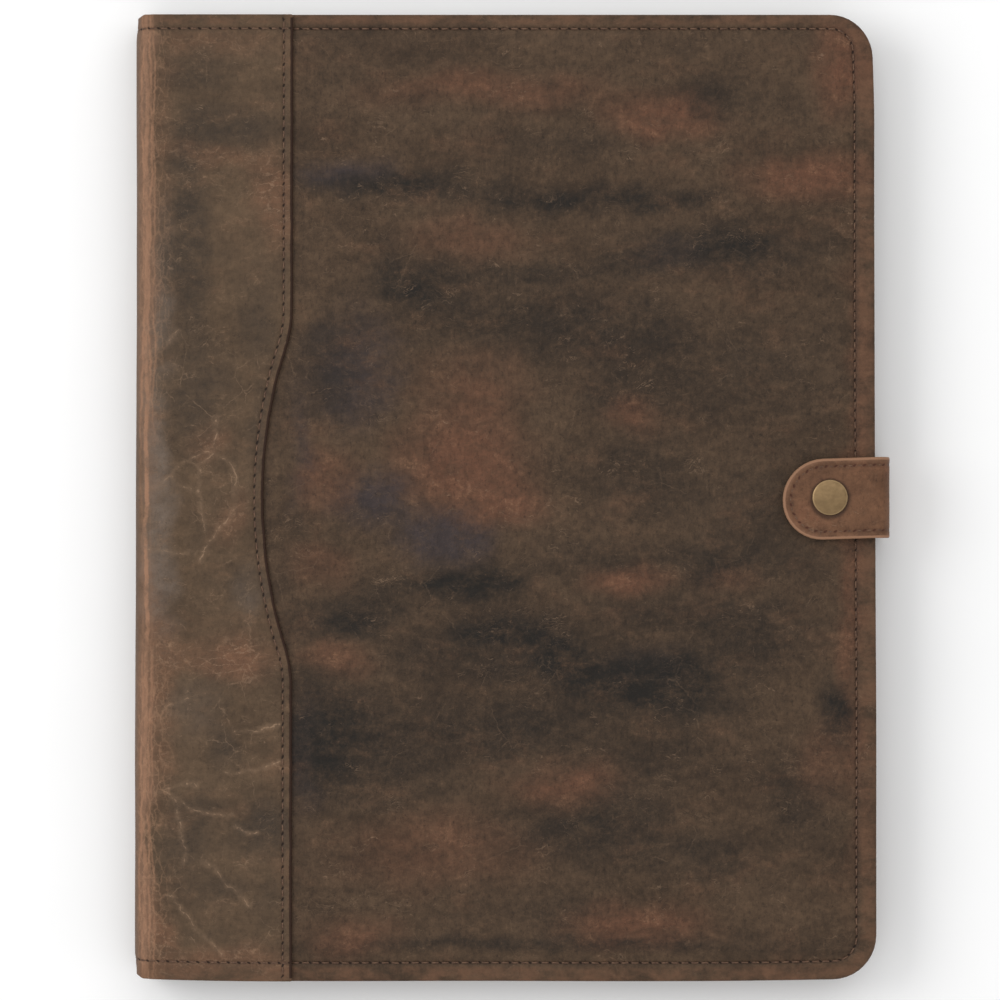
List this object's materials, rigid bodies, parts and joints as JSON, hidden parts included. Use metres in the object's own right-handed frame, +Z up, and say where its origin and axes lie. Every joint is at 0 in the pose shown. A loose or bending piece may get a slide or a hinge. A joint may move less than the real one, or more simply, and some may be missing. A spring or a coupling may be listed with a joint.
{
  "type": "portfolio case",
  "caption": "Book-style distressed leather portfolio case: soft spine, stitched edges, scooped front flap and a snap tab; pockets, pen loop and a writing pad inside.",
  "frame": {"origin": "centre of the back cover's outer face, which the closed case lies on", "axes": "+Z up through the closed case, from the back cover to the front cover; +X from the spine to the fore edge with the snap tab; +Y to the head of the case"},
  "size_m": [0.2652, 0.34, 0.0298],
  "materials": {
    "hide_leather": "waxed pull-up leather, distressed, satin",
    "panel_leather": "waxed pull-up leather, distressed, satin",
    "tab_leather": "waxed leather, lighter where it is bent and handled",
    "pocket_leather": "thin smooth leather, satin",
    "lining_cloth": "woven cloth, matt",
    "cover_board": "grey-brown bookbinding board",
    "thread": "waxed dark brown thread",
    "antique_brass": "antique brass, brushed and darkened",
    "spring_steel": "bright wire",
    "grey_board": "uncoated grey board",
    "writing_paper": "uncoated writing paper",
    "binding_tape": "dark cloth tape"
  },
  "bodies": {
    "back_cover": {"back_leather": "hide_leather", "back_board": "cover_board", "back_lining": "lining_cloth", "back_seam_thread": "thread", "tab_root_leather": "tab_leather", "tab_root_lining": "tab_leather", "pad_pocket": "pocket_leather", "pad_pocket_welts": "pocket_leather", "pad_pocket_thread": "thread", "pen_loop": "hide_leather", "spine_fold_back": "hide_leather", "lining_fold_back": "lining_cloth", "tab_bend_lower": "tab_leather"},
    "spine": {"spine_leather": "hide_leather", "spine_board": "cover_board", "spine_lining": "lining_cloth", "spine_seam_thread": "thread", "spine_fold_front": "hide_leather", "lining_fold_front": "lining_cloth"},
    "front_cover": {"front_leather": "panel_leather", "front_board": "cover_board", "front_lining": "lining_cloth", "front_flap": "hide_leather", "front_seam_thread": "thread", "flap_seam_thread": "thread", "document_pocket": "pocket_leather", "document_pocket_welts": "pocket_leather", "document_pocket_thread": "thread", "card_slot_upper": "pocket_leather", "card_slot_middle": "pocket_leather", "card_slot_lower": "pocket_leather", "card_slot_welts": "pocket_leather", "snap_post": "antique_brass", "snap_stud": "antique_brass"},
    "tab_riser": {"tab_riser_leather": "tab_leather", "tab_riser_lining": "tab_leather", "tab_riser_thread": "thread", "tab_bend_upper": "tab_leather"},
    "tab_tongue": {"tab_tongue_leather": "tab_leather", "tab_tongue_lining": "tab_leather", "tab_tongue_thread": "thread", "snap_socket": "antique_brass", "snap_spring": "spring_steel", "snap_cap": "antique_brass"},
    "writing_pad": {"pad_card": "grey_board", "pad_paper": "writing_paper", "pad_binding": "binding_tape"}
  },
  "joints": [
    {"name": "spine_fold", "type": "hinge", "parent": "back_cover", "child": "spine", "pos_m": [-0.1289, 0, 0.0011], "axis": [0, -1, 0], "range_deg": [0, 90], "deforming": ["spine_fold_back", "lining_fold_back"]},
    {"name": "cover_fold", "type": "hinge", "parent": "spine", "child": "front_cover", "pos_m": [-0.1289, 0, 0.0243], "axis": [0, -1, 0], "range_deg": [0, 90], "deforming": ["spine_fold_front", "lining_fold_front"]},
    {"name": "tab_root_bend", "type": "hinge", "parent": "back_cover", "child": "tab_riser", "pos_m": [0.1342, 0, 0.0024], "axis": [0, 1, 0], "range_deg": [0, 90], "deforming": ["tab_bend_lower"]},
    {"name": "tab_fold", "type": "hinge", "parent": "tab_riser", "child": "tab_tongue", "pos_m": [0.1342, 0, 0.0275], "axis": [0, 1, 0], "range_deg": [0, 90], "deforming": ["tab_bend_upper"]},
    {"name": "pad_slide", "type": "slide", "parent": "back_cover", "child": "writing_pad", "axis": [0, 1, 0], "range_m": [0, 0.22]}
  ]
}
